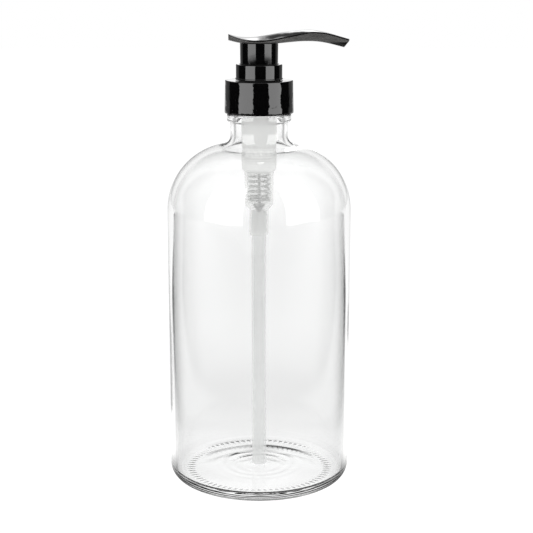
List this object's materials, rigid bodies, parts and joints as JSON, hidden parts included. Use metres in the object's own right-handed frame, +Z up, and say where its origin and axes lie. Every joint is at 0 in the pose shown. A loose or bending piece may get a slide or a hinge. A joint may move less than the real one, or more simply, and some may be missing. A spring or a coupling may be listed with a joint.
{
  "type": "soap pump dispenser",
  "caption": "Clear round-shouldered glass bottle with a black saddle-head lotion pump, screw collar, natural pump barrel and dip tube.",
  "frame": {"origin": "centre of the bottle's base, on the bottle's axis, at the surface it stands on", "axes": "+Z up along the bottle's axis, +X towards the spout's tip"},
  "size_m": [0.0948, 0.0948, 0.2359],
  "materials": {
    "glass": "clear, smooth",
    "black_gloss": "polished black polypropylene",
    "natural_plastic": "cloudy natural polypropylene",
    "white_plastic": "satin",
    "grey_plastic": "satin",
    "spring_steel": "drawn wire",
    "seal": "soft polyethylene",
    "foam": "foamed liner"
  },
  "bodies": {
    "bottle_body": {"bottle": "glass"},
    "liner": {"gasket": "foam"},
    "pump_barrel": {"housing": "natural_plastic", "chaplet": "black_gloss", "dip_tube": "natural_plastic", "stem_seal": "seal", "main_spring": "spring_steel"},
    "closure": {"collar": "black_gloss"},
    "plunger": {"piston_rod": "white_plastic"},
    "piston_ring": {"piston": "seal"},
    "head": {"actuator_body": "black_gloss", "actuator_cover": "black_gloss", "stem": "white_plastic"},
    "foot_valve": {"inlet_poppet": "grey_plastic"}
  },
  "joints": [
    {"name": "pump_lift_out", "type": "slide", "parent": "bottle_body", "child": "liner", "axis": [0, 0, 1], "range_m": [0, 0.21]},
    {"name": "pump_rise", "type": "slide", "parent": "liner", "child": "pump_barrel", "axis": [0, 0, 1], "range_m": [0, 0.00634]},
    {"name": "collar_unscrew", "type": "hinge", "parent": "pump_barrel", "child": "closure", "pos_m": [0, 0, 0.2], "axis": [0, 0, 1], "range_deg": [0, 540]},
    {"name": "pump_stroke", "type": "slide", "parent": "pump_barrel", "child": "plunger", "axis": [0, 0, 1], "range_m": [-0.01, 0], "stiffness_N_per_m": 700, "springref_m": 0.012, "deforming": ["main_spring"]},
    {"name": "spout_swivel", "type": "hinge", "parent": "plunger", "child": "head", "pos_m": [0, 0, 0.2], "axis": [0, 0, 1], "continuous": true},
    {"name": "piston_slip", "type": "slide", "parent": "plunger", "child": "piston_ring", "axis": [0, 0, 1], "range_m": [0, 0.0012]},
    {"name": "inlet_valve_lift", "type": "slide", "parent": "pump_barrel", "child": "foot_valve", "axis": [0, 0, 1], "range_m": [0, 0.0012]}
  ],
  "couplings": [
    {"joint": "collar_unscrew", "follows": "pump_rise", "rad_per_m": 1484.3}
  ]
}
